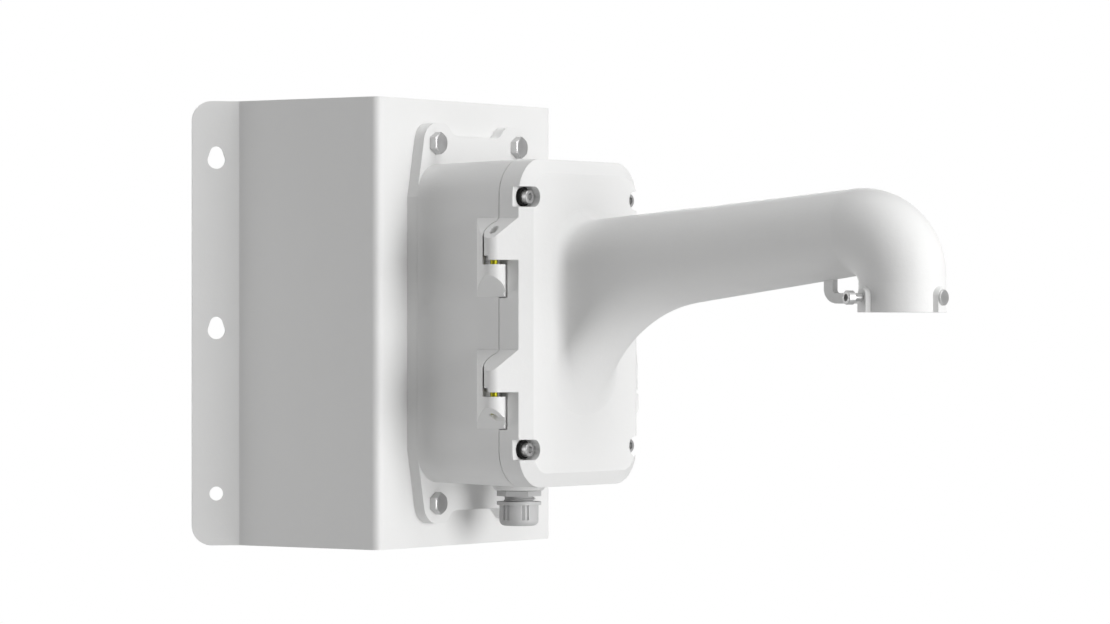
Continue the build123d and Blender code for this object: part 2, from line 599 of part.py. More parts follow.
def make_cover(cover_lug, arm_outer, arm_inner):
    bevel_depth = COVER_FACE_DEPTH - COVER_SIDE_DEPTH
    with BuildPart() as cover:
        with BuildSketch(front_plane(SEAM_DEPTH)):
            RectangleRounded(2 * BOX_HALF_WIDTH, 2 * BOX_HALF_HEIGHT, BOX_CORNER)
        extrude(amount=COVER_SIDE_DEPTH - SEAM_DEPTH)
        with BuildSketch(front_plane(COVER_SIDE_DEPTH)):
            RectangleRounded(2 * BOX_HALF_WIDTH, 2 * BOX_HALF_HEIGHT, BOX_CORNER)
        extrude(amount=bevel_depth, taper=degrees(atan(BEVEL_WIDTH / bevel_depth)))
        with BuildSketch(front_plane(SEAM_DEPTH)):
            width, height, corner = box_outline(BOX_WALL)
            RectangleRounded(width, height, corner)
            boss = POCKET_RADIUS + COVER_BOSS_WALL
            for x, z in corners(SCREW_X, SCREW_Z):
                with Locations((x, z)):
                    Circle(boss, mode=Mode.SUBTRACT)
                with Locations((x + (boss if x > 0 else -boss), z)):
                    Rectangle(2 * boss, 2 * boss, mode=Mode.SUBTRACT)
        extrude(amount=COVER_INSIDE_DEPTH - SEAM_DEPTH, mode=Mode.SUBTRACT)
        with Locations((0, 0, HINGE_RISE), (0, 0, -HINGE_RISE)):
            add(cover_lug)
        with Locations((0, 0, HINGE_RISE), (0, 0, -HINGE_RISE)):
            add(mirror(cover_lug, about=Plane.YZ, mode=Mode.PRIVATE))
        notch_inset = BODY_BLOCK_INSET + NOTCH_CLEARANCE
        notch_height = HINGE_HALF_HEIGHT + NOTCH_CLEARANCE + COVER_KNUCKLE_BOTTOM
        with BuildSketch(front_plane(SEAM_DEPTH)):
            for side in (-1, 1):
                with Locations(*[(side * (BOX_HALF_WIDTH - notch_inset), rise + COVER_KNUCKLE_BOTTOM)
                                 for rise in (HINGE_RISE, -HINGE_RISE)]):
                    Rectangle(2 * notch_inset, notch_height,
                              align=(Align.MIN if side > 0 else Align.MAX, Align.MAX))
        extrude(amount=BODY_BLOCK_DEPTH + NOTCH_LEAD_CLEARANCE - SEAM_DEPTH, mode=Mode.SUBTRACT)
        with BuildSketch(front_plane(POCKET_DEPTH)):
            for x, z in corners(SCREW_X, SCREW_Z):
                with Locations((x, z)):
                    Circle(POCKET_RADIUS)
                with Locations((x, z)):
                    Rectangle(BOX_HALF_WIDTH, 2 * POCKET_RADIUS,
                              align=(Align.MIN if x > 0 else Align.MAX, Align.CENTER))
        extrude(amount=COVER_FACE_DEPTH, mode=Mode.SUBTRACT)
        with BuildSketch(front_plane(SEAM_DEPTH)):
            with Locations(*corners(SCREW_X, SCREW_Z)):
                Circle(COVER_SCREW_HOLE_RADIUS)
        extrude(amount=COVER_WALL * 2, mode=Mode.SUBTRACT)
        with BuildSketch(front_plane(SEAM_DEPTH)):
            gasket_ring()
        extrude(amount=GASKET_GROOVE, mode=Mode.SUBTRACT)
        add(arm_outer)
        face_edges = cover.faces().filter_by(Axis.Y).sort_by(Axis.Y)[0].edges()
        root = [edge for edge in face_edges if max(abs(edge.bounding_box().max.X),
                                                   abs(edge.bounding_box().min.X)) < NECK_REACH]
        fillet(root, NECK_ROOT_FILLET)
        for angle in (LOCK_ANGLE, FRONT_ANGLE):
            add(make_pad(angle))
        add(make_eye())
        centre, half_width, half_height = neck_section(COVER_FACE_DEPTH, ARM_WALL)
        with BuildSketch(front_plane(COVER_INSIDE_DEPTH)):
            with Locations((0, centre)):
                Ellipse(half_width, half_height)
        extrude(amount=COVER_WALL, mode=Mode.SUBTRACT)
        add(arm_inner, mode=Mode.SUBTRACT)
        with BuildSketch(Plane.XY.offset(COLLAR_BOTTOM)):
            with Locations((0, depth_y(COLLAR_DEPTH))):
                Circle(THREAD_RADIUS)
        extrude(amount=THREAD_LENGTH, mode=Mode.SUBTRACT)
        for angle in (LOCK_ANGLE, FRONT_ANGLE):
            with BuildSketch(radial_plane(angle, THREAD_RADIUS / 2)):
                Circle(LOCK_TAP_RADIUS)
            extrude(amount=PAD_FACE, mode=Mode.SUBTRACT)
        for rise in (HINGE_RISE, -HINGE_RISE):
            with BuildSketch(Plane.XY.offset(rise + COVER_KNUCKLE_BOTTOM)):
                with Locations((HINGE_X, depth_y(HINGE_DEPTH))):
                    Circle(PIN_RADIUS + PIN_RUNNING_CLEARANCE)
            extrude(amount=PIN_TOP + PIN_TOP_GAP - COVER_KNUCKLE_BOTTOM, mode=Mode.SUBTRACT)
        with BuildSketch(Plane.XY.offset(HINGE_RISE + PIN_TOP)):
            with Locations((HINGE_X, depth_y(HINGE_DEPTH))):
                Circle(PIN_MOUTH_RADIUS)
        extrude(amount=HINGE_HALF_HEIGHT, mode=Mode.SUBTRACT)
    return cover.part


def gasket_ring():
    width, height, corner = box_outline(GASKET_INSET)
    RectangleRounded(width, height, corner)
    width, height, corner = box_outline(GASKET_INSET + GASKET_WIDTH)
    RectangleRounded(width, height, corner, mode=Mode.SUBTRACT)


def make_gasket():
    with BuildPart() as gasket:
        with BuildSketch(front_plane(BOX_DEPTH + GASKET_CLEARANCE)):
            gasket_ring()
        extrude(amount=SEAM_GAP - GASKET_CLEARANCE + GASKET_GROOVE)
    return gasket.part


# Closed eye for a safety rope, cast under the arm next to the collar
def make_eye():
    top = ELBOW_CENTRE_Z + ELBOW_RADIUS / 2
    end = COLLAR_DEPTH - PAD_ROOT
    with BuildPart() as eye:
        with BuildSketch(Plane.YZ.offset(-EYE_THICKNESS / 2)):
            with BuildLine():
                Polyline((depth_y(EYE_BACK_DEPTH), top), (depth_y(EYE_BACK_DEPTH), EYE_BOTTOM),
                         (depth_y(end), EYE_BOTTOM), (depth_y(end), EYE_BOTTOM + EYE_LEG),
                         (depth_y(EYE_BACK_DEPTH + EYE_LEG), EYE_BOTTOM + EYE_LEG),
                         (depth_y(EYE_BACK_DEPTH + EYE_LEG), top), close=True)
            make_face()
        extrude(amount=EYE_THICKNESS)
        fillet(eye.edges().filter_by(Axis.X).group_by(Axis.Y)[-1].sort_by(Axis.Z)[0], EYE_ROUND)
        fillet(eye.edges().filter_by(Axis.X).group_by(Axis.Z)[1].sort_by(Axis.Y)[-1], EYE_INNER_ROUND)
    return eye.part


# Turned and standard pieces
def make_pin(rise, bottom):
    with BuildPart() as pin:
        with BuildSketch(Plane.XY.offset(rise + bottom)):
            with Locations((HINGE_X, depth_y(HINGE_DEPTH))):
                Circle(PIN_RADIUS)
        extrude(amount=PIN_TOP - bottom)
        chamfer(pin.edges().filter_by(GeomType.CIRCLE), PIN_CHAMFER)
    return pin.part


def socket_screw(plane, head_radius, head_height, core_radius, length):
    """Socket head screw: the plane's origin is under the head, its z axis points out of the socket."""
    with BuildPart() as screw:
        with BuildSketch(plane):
            Circle(head_radius)
        extrude(amount=head_height)
        top_face = screw.faces().sort_by(Axis(plane.origin, plane.z_dir))[-1]
        chamfer(top_face.edges(), HEAD_CHAMFER_SHARE * head_radius)
        with BuildSketch(plane.offset(head_height)):
            RegularPolygon(SOCKET_FLATS_SHARE * head_radius, 6, major_radius=False)
        extrude(amount=-SOCKET_DEPTH_SHARE * head_height, mode=Mode.SUBTRACT)
        with BuildSketch(plane):
            Circle(core_radius)
        extrude(amount=-length)
    return screw.part


def make_screw_seal(x, z):
    """Rubber ring under the head of a cover screw."""
    with BuildPart() as seal:
        with BuildSketch(front_plane(POCKET_DEPTH)):
            with Locations((x, z)):
                Circle(SCREW_SEAL_RADIUS)
                Circle(SCREW_SEAL_BORE, mode=Mode.SUBTRACT)
        extrude(amount=SCREW_SEAL_THICKNESS)
    return seal.part


def make_front_screw():
    plane = radial_plane(FRONT_ANGLE, PAD_FACE)
    with BuildPart() as screw:
        with BuildSketch(plane):
            Circle(FRONT_HEAD_RADIUS)
        extrude(amount=FRONT_HEAD_HEIGHT)
        top_face = screw.faces().sort_by(Axis(plane.origin, plane.z_dir))[-1]
        chamfer(top_face.edges(), FRONT_HEAD_CHAMFER)
        with BuildSketch(plane):
            Circle(LOCK_CORE_RADIUS)
        extrude(amount=LOCK_TIP - PAD_FACE)
    return screw.part


def hex_head(plane, flats, height):
    """Hexagon whose corners are cut by a shallow cone on its outer end."""
    cone_slope = 90 - HEX_CHAMFER
    top_radius = HEX_TOP_SHARE * flats / 2
    with BuildPart() as head:
        with BuildSketch(plane):
            RegularPolygon(flats / 2, 6, major_radius=False)
        extrude(amount=height)
        with BuildSketch(plane):
            Circle(top_radius + height * tan(radians(cone_slope)))
        extrude(amount=height, taper=cone_slope, mode=Mode.INTERSECT)
    return head.part


def make_bolt(x, z):
    under_head = front_plane(PLATE_THICKNESS)
    plane = Plane(origin=under_head.from_local_coords((x, z, 0)), x_dir=(0, 0, 1), z_dir=(0, -1, 0))
    tail = PLATE_THICKNESS + SHEET + WASHER_THICKNESS + NUT_HEIGHT + BOLT_TAIL
    head = hex_head(plane, BOLT_HEX_FLATS, BOLT_HEAD)
    with BuildPart() as bolt:
        add(head)
        with BuildSketch(plane):
            Circle(BOLT_RADIUS)
        extrude(amount=-tail)
        chamfer(bolt.faces().sort_by(Axis.Y)[-1].edges(), BOLT_TAIL_CHAMFER)
    return bolt.part


def make_washer(x, z):
    with BuildPart() as washer:
        with BuildSketch(front_plane(-SHEET)):
            with Locations((x, z)):
                Circle(WASHER_RADIUS)
                Circle(BOLT_HOLE_RADIUS, mode=Mode.SUBTRACT)
        extrude(amount=-WASHER_THICKNESS)
    return washer.part


def make_nut(x, z):
    seat = front_plane(-SHEET - WASHER_THICKNESS)
    plane = Plane(origin=seat.from_local_coords((x, z, 0)), x_dir=(0, 0, 1), z_dir=(0, 1, 0))
    body = hex_head(plane, BOLT_HEX_FLATS, NUT_HEIGHT)
    with BuildPart() as nut:
        add(body)
        with BuildSketch(plane):
            Circle(BOLT_RADIUS)
        extrude(amount=NUT_HEIGHT, mode=Mode.SUBTRACT)
    return nut.part


# Cable gland under the box, axis vertical
def gland_plane(z):
    return Plane(origin=(0, depth_y(GLAND_DEPTH), z), x_dir=(1, 0, 0), z_dir=(0, 0, -1))


def cap_valley(turn, side):
    """Corners, as radius and angle, of the groove beside a ridge of the cap nut."""
    outside = CAP_RADIUS + CAP_VALLEY_DEPTH
    end = turn + side * CAP_VALLEY_END
    return [(CAP_RADIUS, turn), (CAP_RADIUS - CAP_VALLEY_DEPTH, turn + side * CAP_VALLEY_TURN),
            (CAP_RADIUS, end), (outside, end), (outside, turn)]


def make_gland_pieces():
    gasket_top = GLAND_BOSS_BOTTOM
    hex_top = gasket_top - GLAND_GASKET_THICKNESS
    neck_top = hex_top - GLAND_HEX_HEIGHT
    rim_top = neck_top - GLAND_NECK_HEIGHT
    skirt_top = rim_top - CAP_RIM_HEIGHT
    nose_top = skirt_top - CAP_HEIGHT

    with BuildPart() as gland_gasket:
        with BuildSketch(gland_plane(gasket_top)):
            Circle(GLAND_GASKET_RADIUS)
            Circle(GLAND_HOLE_RADIUS, mode=Mode.SUBTRACT)
        extrude(amount=GLAND_GASKET_THICKNESS)

    with BuildPart() as gland_body:
        with BuildSketch(gland_plane(hex_top)):
            RegularPolygon(GLAND_HEX_FLATS / 2, 6, major_radius=False)
        extrude(amount=GLAND_HEX_HEIGHT)
        with BuildSketch(gland_plane(GLAND_PAD_TOP + GLAND_TAIL)):
            Circle(GLAND_THREAD_RADIUS)
        extrude(amount=GLAND_PAD_TOP + GLAND_TAIL - rim_top + CAP_RIM_HEIGHT + CAP_HEIGHT / 3)
        with BuildSketch(gland_plane(neck_top)):
            Circle(GLAND_THREAD_RADIUS)
            Circle(GLAND_NECK_RADIUS, mode=Mode.SUBTRACT)
        extrude(amount=GLAND_NECK_HEIGHT, mode=Mode.SUBTRACT)
        with BuildSketch(gland_plane(GLAND_PAD_TOP + GLAND_TAIL)):
            Circle(GLAND_BORE)
        extrude(amount=2 * BOX_HALF_HEIGHT, mode=Mode.SUBTRACT)

    with BuildPart() as gland_cap_nut:
        with BuildSketch(gland_plane(rim_top)):
            Circle(CAP_RIM_RADIUS)
        extrude(amount=CAP_RIM_HEIGHT)
        with BuildSketch(gland_plane(skirt_top)):
            Circle(CAP_RADIUS)
        extrude(amount=CAP_HEIGHT)
        with BuildSketch(gland_plane(nose_top)):
            Circle(CAP_RADIUS)
        extrude(amount=CAP_NOSE)
        fillet(gland_cap_nut.edges().filter_by(GeomType.CIRCLE).sort_by(Axis.Z)[0], CAP_NOSE_ROUND)
        with BuildSketch(gland_plane(skirt_top)):
            for ridge in range(CAP_RIDGES):
                for side in (-1, 1):
                    points = [(radius * cos(radians(turn)), radius * sin(radians(turn)))
                              for radius, turn in cap_valley(360 / CAP_RIDGES * ridge + CAP_RIDGE_TURN, side)]
                    with BuildLine():
                        Polyline(points, close=True)
                    make_face()
        extrude(amount=CAP_HEIGHT, mode=Mode.SUBTRACT)
        with BuildSketch(gland_plane(rim_top)):
            Circle(GLAND_THREAD_RADIUS + GLAND_THREAD_CLEARANCE)
        extrude(amount=CAP_RIM_HEIGHT + CAP_HEIGHT, mode=Mode.SUBTRACT)
        with BuildSketch(gland_plane(nose_top)):
            Circle(CAP_MOUTH_RADIUS)
        extrude(amount=2 * CAP_NOSE, mode=Mode.SUBTRACT)

    with BuildPart() as gland_seal:
        seal_top = skirt_top - CAP_HEIGHT / 3 - SEAL_CLEARANCE
        with BuildSketch(gland_plane(seal_top)):
            Circle(GLAND_THREAD_RADIUS - SEAL_SIDE_GAP)
            Circle(SEAL_BORE, mode=Mode.SUBTRACT)
        extrude(amount=seal_top - nose_top)

    with BuildPart() as gland_locknut:
        with BuildSketch(Plane.XY.offset(GLAND_PAD_TOP)):
            with Locations((0, depth_y(GLAND_DEPTH))):
                RegularPolygon(LOCKNUT_FLATS / 2, 6, major_radius=False)
                Circle(GLAND_THREAD_RADIUS + GLAND_THREAD_CLEARANCE, mode=Mode.SUBTRACT)
        extrude(amount=LOCKNUT_HEIGHT)

    return {"gland_gasket": gland_gasket.part, "gland_body": gland_body.part,
            "gland_cap_nut": gland_cap_nut.part, "gland_seal": gland_seal.part,
            "gland_locknut": gland_locknut.part}


save(make_adapter(), "corner_adapter")
save(make_box(make_body_lug()), "junction_box")
save(make_cover(make_cover_lug(), make_arm_core(0), make_arm_core(ARM_WALL)), "arm_cover")
save(make_gasket(), "cover_gasket")
save(make_pin(HINGE_RISE, PIN_BOTTOM), "upper_hinge_pin")
save(make_pin(-HINGE_RISE, LOWER_PIN_BOTTOM), "lower_hinge_pin")

for name, (x, z) in zip(CORNER_NAMES, corners(SCREW_X, SCREW_Z)):
    seat = front_plane(SCREW_SEAT_DEPTH)
    screw_plane = Plane(origin=seat.from_local_coords((x, z, 0)), x_dir=(0, 0, 1), z_dir=(0, -1, 0))
    shank = SCREW_SEAT_DEPTH - BOX_DEPTH + COVER_SCREW_ENGAGEMENT
    save(socket_screw(screw_plane, COVER_SCREW_HEAD_RADIUS, COVER_SCREW_HEAD_HEIGHT,
                      COVER_SCREW_CORE_RADIUS, shank), f"{name}_cover_screw")
    save(make_screw_seal(x, z), f"{name}_screw_seal")

for name, (x, z) in zip(CORNER_NAMES, corners(BOLT_X, BOLT_Z)):
    save(make_bolt(x, z), f"{name}_bolt")
    save(make_washer(x, z), f"{name}_washer")
    save(make_nut(x, z), f"{name}_nut")

save(socket_screw(radial_plane(LOCK_ANGLE, LOCK_SEAT), LOCK_HEAD_RADIUS, LOCK_HEAD_HEIGHT,
                  LOCK_CORE_RADIUS, LOCK_SEAT - LOCK_TIP), "collar_lock_screw")
save(make_front_screw(), "collar_front_screw")

for name, piece in make_gland_pieces().items():
    save(piece, name)
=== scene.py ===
"""Camera corner mount bracket: finishes, neck skin, screw threads, studio light and camera."""
import json
import math

import bmesh
import bpy
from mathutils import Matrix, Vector


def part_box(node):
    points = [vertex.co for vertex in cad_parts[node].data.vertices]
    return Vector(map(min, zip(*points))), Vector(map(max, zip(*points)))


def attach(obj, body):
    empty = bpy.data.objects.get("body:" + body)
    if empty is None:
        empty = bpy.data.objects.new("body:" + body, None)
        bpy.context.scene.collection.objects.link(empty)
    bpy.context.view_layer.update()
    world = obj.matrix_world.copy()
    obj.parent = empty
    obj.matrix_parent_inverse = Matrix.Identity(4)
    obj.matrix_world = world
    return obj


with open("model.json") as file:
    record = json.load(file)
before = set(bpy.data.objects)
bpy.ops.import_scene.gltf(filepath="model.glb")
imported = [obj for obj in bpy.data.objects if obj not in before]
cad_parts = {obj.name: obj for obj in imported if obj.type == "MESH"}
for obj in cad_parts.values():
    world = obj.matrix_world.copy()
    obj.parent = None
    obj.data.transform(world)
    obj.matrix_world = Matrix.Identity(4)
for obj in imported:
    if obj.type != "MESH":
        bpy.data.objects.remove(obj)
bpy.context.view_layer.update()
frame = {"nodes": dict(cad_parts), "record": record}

MM = 0.001

# Camera: level, to the left of the bracket and in front of it
CAMERA_TURN = math.radians(55.05)
CAMERA_PLACE = (-2.4283, -1.7911, 0.0)
IMAGE_WIDTH = 1110
FOCAL_PIXELS = 4424.1
HORIZON_BELOW_CENTRE = 11.25
SENSOR = 36.0

# Studio: the surround's even light, the share of its full white that shiny surfaces mirror, and soft
# lamps given by their turn from the front towards +X and their rise, both in degrees, their
# distance and the level that each gives a surface facing it
STUDIO_CENTRE_Y = -0.2
AMBIENT = 0.08
MIRRORED_SHARE = 0.45
LAMP_SIZE = 2.0
LAMPS = {
    "front": (-1.0, 4.0, 3.0, 0.73),
    "front_high": (0.0, 45.0, 3.0, 0.13),
    "top": (0.0, 81.5, 2.2, 0.37),
    "rear_left": (-140.0, 4.0, 3.0, 0.25),
    "rear_right": (130.0, 10.0, 3.0, 0.35),
}
FLOOR_Z = -0.75
FLOOR_RADIUS = 3.0
FLOOR_SIDES = 96
FLOOR_COLOUR = 0.72
FLOOR_LIFT = 0.22

# Finishes
COAT_COLOUR = (0.80, 0.80, 0.795)
COAT_GRAIN = 950.0
COAT_PEEL = 210.0
STEEL_COLOUR = (0.57, 0.57, 0.57)
ZINC_COLOUR = (0.27, 0.255, 0.004)
NYLON_COLOUR = (0.56, 0.56, 0.56)
RUBBER_COLOUR = (0.012, 0.012, 0.012)

# The cover's flared neck in millimetres: lengths ahead of the cover's face, heights in the frame
COVER_FACE_Y = -118.6355
NECK_LENGTH = 97.4
NECK_HALF_WIDTH = 30.8
NECK_TOP = 76.279
NECK_RISE = 0.085
NECK_UNDERSIDE = 14.679
NECK_UNDER_SLOPE = 0.13934
NECK_UNDER_RADIUS = 93.0
NECK_UNDER_LEAD = 10.5
NECK_COLUMNS = 120
NECK_STEPS = 28

# The round at the neck's root, and the skin: how far it stands out, how deep its inner side lies, its
# skirt just under the cover's face, and the share of the neck after which it sinks into the surface
ROOT_ROUND = 8.2
ROOT_FOOT = 1.8
ROOT_STEPS = 10
ROOT_LIFT = 0.02
SKIN_OFFSET = 0.15
SKIN_DEPTH = 2.2
SKIN_SKIRT = 2.0
SKIRT_TOP = 0.05
SKIN_SINK = 0.5
SKIN_FADE_START = 0.85
SKIN_END_SINK = 0.6

# Threads: sizes in metres, the lock screw's angle in degrees from the front towards -X
RIDGE_HALF_FOOT = 0.46
RIDGE_HALF_CREST = 0.06
RIDGE_FADE_STEPS = 12
CAMERA_THREAD_PITCH = 2.309 * MM
CAMERA_THREAD_MARGIN = 0.8 * MM
CAMERA_THREAD_ROOT = 0.05 * MM
CAMERA_THREAD_DEPTH = 1.35 * MM
CAMERA_THREAD_STEPS = 72
GLAND_THREAD_TOP = -115.5 * MM
GLAND_THREAD_LENGTH = 5.4 * MM
GLAND_THREAD_PITCH = 2.65 * MM
GLAND_THREAD_ROOT = 9.5 * MM
GLAND_THREAD_CREST = 11.2 * MM
GLAND_THREAD_SIDE = (-0.573, 0.82, 0)
LOCK_ANGLE = 117.0
LOCK_THREAD_START = 29.8 * MM
LOCK_THREAD_LENGTH = 7.4 * MM
LOCK_THREAD_PITCH = 0.8 * MM
LOCK_THREAD_ROOT = 2.25 * MM
LOCK_THREAD_CREST = 2.5 * MM


def add_node(tree, kind, **values):
    """Adds a node and sets its properties and input sockets by name."""
    node = tree.nodes.new(kind)
    for key, value in values.items():
        if hasattr(node, key):
            setattr(node, key, value)
        else:
            node.inputs[key.replace("_", " ")].default_value = value
    return node


def new_material(name):
    """Material with one Principled shader, its node tree and that shader."""
    material = bpy.data.materials.new(name)
    material.use_nodes = True
    tree = material.node_tree
    tree.nodes.clear()
    output = tree.nodes.new("ShaderNodeOutputMaterial")
    shader = tree.nodes.new("ShaderNodeBsdfPrincipled")
    tree.links.new(shader.outputs["BSDF"], output.inputs["Surface"])
    return material, tree, shader


def noise(tree, scale, detail=2.0, roughness=0.5):
    """Noise in the object's own metres."""
    place = tree.nodes.new("ShaderNodeTexCoord")
    texture = tree.nodes.new("ShaderNodeTexNoise")
    texture.inputs["Scale"].default_value = scale
    texture.inputs["Detail"].default_value = detail
    texture.inputs["Roughness"].default_value = roughness
    tree.links.new(place.outputs["Object"], texture.inputs["Vector"])
    return texture.outputs["Fac"]


def remap(tree, source, low, high):
    """Spreads a noise value over a range."""
    node = tree.nodes.new("ShaderNodeMapRange")
    node.inputs["From Min"].default_value = 0.25
    node.inputs["From Max"].default_value = 0.75
    node.inputs["To Min"].default_value = low
    node.inputs["To Max"].default_value = high
    tree.links.new(source, node.inputs["Value"])
    return node.outputs["Result"]


def tint(tree, source, colour, spread):
    """Colour that varies by a small share to each side of the given one."""
    ramp = tree.nodes.new("ShaderNodeValToRGB")
    ramp.color_ramp.elements[0].position = 0.3
    ramp.color_ramp.elements[1].position = 0.7
    ramp.color_ramp.elements[0].color = [part * (1 - spread) for part in colour] + [1.0]
    ramp.color_ramp.elements[1].color = [part * (1 + spread) for part in colour] + [1.0]
    tree.links.new(source, ramp.inputs["Fac"])
    return ramp.outputs["Color"]


def bump(tree, layers, edge=0.0):
    """Chain of bump nodes from (height, depth in metres) pairs over softly rounded edges."""
    normal = None
    if edge:
        rounding = tree.nodes.new("ShaderNodeBevel")
        rounding.samples = 6
        rounding.inputs["Radius"].default_value = edge
        normal = rounding.outputs["Normal"]
    for height, depth in layers:
        node = tree.nodes.new("ShaderNodeBump")
        node.inputs["Strength"].default_value = 1.0
        node.inputs["Distance"].default_value = depth
        tree.links.new(height, node.inputs["Height"])
        if normal:
            tree.links.new(normal, node.inputs["Normal"])
        normal = node.outputs["Normal"]
    return normal


def powder_coat(name, edge, peel_depth):
    """White powder coat: a fine grain over the slow waves that such paint dries with."""
    material, tree, shader = new_material(name)
    grain = noise(tree, COAT_GRAIN, detail=3.0, roughness=0.6)
    peel = noise(tree, COAT_PEEL, detail=1.0)
    clouds = noise(tree, 9.0, detail=3.0)
    tree.links.new(tint(tree, clouds, COAT_COLOUR, 0.006), shader.inputs["Base Color"])
    tree.links.new(remap(tree, grain, 0.46, 0.60), shader.inputs["Roughness"])
    shader.inputs["Specular IOR Level"].default_value = 0.3
    normal = bump(tree, [(peel, peel_depth), (grain, 0.045 * MM)], edge)
    tree.links.new(normal, shader.inputs["Normal"])
    return material


def stainless_steel():
    """Satin stainless steel with faint cloudiness and fine handling marks."""
    material, tree, shader = new_material("satin_stainless")
    grain = noise(tree, 2600.0, detail=2.0)
    clouds = noise(tree, 160.0, detail=3.0)
    tree.links.new(tint(tree, clouds, STEEL_COLOUR, 0.06), shader.inputs["Base Color"])
    tree.links.new(remap(tree, clouds, 0.30, 0.44), shader.inputs["Roughness"])
    shader.inputs["Metallic"].default_value = 1.0
    tree.links.new(bump(tree, [(grain, 0.01 * MM)], 0.15 * MM), shader.inputs["Normal"])
    return material


def yellow_zinc():
    """Yellow passivated zinc, slightly uneven in colour."""
    material, tree, shader = new_material("yellow_zinc")
    clouds = noise(tree, 420.0, detail=3.0)
    tree.links.new(tint(tree, clouds, ZINC_COLOUR, 0.15), shader.inputs["Base Color"])
    tree.links.new(remap(tree, clouds, 0.30, 0.45), shader.inputs["Roughness"])
    shader.inputs["Metallic"].default_value = 0.75
    return material


def moulded_nylon():
    """Light grey nylon with the fine grain of its mould."""
    material, tree, shader = new_material("grey_nylon")
    grain = noise(tree, 2100.0, detail=2.0)
    clouds = noise(tree, 70.0, detail=2.0)
    tree.links.new(tint(tree, clouds, NYLON_COLOUR, 0.02), shader.inputs["Base Color"])
    tree.links.new(remap(tree, grain, 0.42, 0.56), shader.inputs["Roughness"])
    tree.links.new(bump(tree, [(grain, 0.02 * MM)], 0.2 * MM), shader.inputs["Normal"])
    return material


def black_rubber():
    """Black rubber, matt and slightly uneven."""
    material, tree, shader = new_material("black_rubber")
    grain = noise(tree, 1500.0, detail=2.0)
    tree.links.new(tint(tree, grain, RUBBER_COLOUR, 0.2), shader.inputs["Base Color"])
    tree.links.new(remap(tree, grain, 0.55, 0.72), shader.inputs["Roughness"])
    shader.inputs["Specular IOR Level"].default_value = 0.1
    tree.links.new(bump(tree, [(grain, 0.02 * MM)]), shader.inputs["Normal"])
    return material


MATERIALS = {
    "white_sheet": powder_coat("white_coat_on_sheet", 0.25 * MM, 0.05 * MM),
    "white_casting": powder_coat("white_coat_on_casting", 0.45 * MM, 0.08 * MM),
    "stainless": stainless_steel(),
    "yellow_zinc": yellow_zinc(),
    "grey_nylon": moulded_nylon(),
    "black_rubber": black_rubber(),
}


def finish_nodes():
    """Gives each carried-over node the finish of its slot in the record."""
    for part in frame["record"]["subparts"]:
        piece = frame["nodes"][part["node"]]
        for slot in piece.material_slots:
            slot.material = MATERIALS[part["material_slot"]]


def neck_limits(ahead):
    """Heights of the neck's top and underside at a distance ahead of the cover's face."""
    behind = NECK_LENGTH - ahead
    lead = max(behind - NECK_UNDER_LEAD, 0.0)
    drop = NECK_UNDER_RADIUS - math.sqrt(NECK_UNDER_RADIUS ** 2 - lead ** 2)
    return NECK_TOP - NECK_RISE * behind, NECK_UNDERSIDE - NECK_UNDER_SLOPE * behind - drop


def neck_columns():
    """Unit directions round the neck, none of them level."""
    turns = [2 * math.pi * (i + 0.5) / NECK_COLUMNS for i in range(NECK_COLUMNS)]
    return [(math.cos(turn), math.sin(turn)) for turn in turns]


def root_offset(ahead, up):
    """How far the root's round stands outside the neck; it gets smaller towards the flared underside."""
    radius = ROOT_ROUND if up > 0 else ROOT_ROUND + (ROOT_FOOT - ROOT_ROUND) * up ** 2
    rest = max(radius - ahead, 0.0)
    return radius - math.sqrt(radius ** 2 - rest ** 2)


def straight_sided_ring(ahead, out):
    """Ring of the neck with straight sides and round ends, at a distance ahead and an offset outwards."""
    top, bottom = neck_limits(max(ahead, 0.0))
    ring = []
    for across, up in neck_columns():
        middle = top - NECK_HALF_WIDTH if up > 0 else bottom + NECK_HALF_WIDTH
        radius = NECK_HALF_WIDTH + out + root_offset(max(ahead, 0.0), up)
        ring.append((radius * across, COVER_FACE_Y - ahead, middle + radius * up))
    return ring


def oval_ring(ahead):
    """Ring inside the wall of the cast neck, whose section is an oval."""
    top, bottom = neck_limits(max(ahead, 0.0))
    middle, half_height = (top + bottom) / 2, (top - bottom) / 2
    return [((NECK_HALF_WIDTH - SKIN_DEPTH) * across, COVER_FACE_Y - ahead,
             middle + (half_height - SKIN_DEPTH) * up) for across, up in neck_columns()]


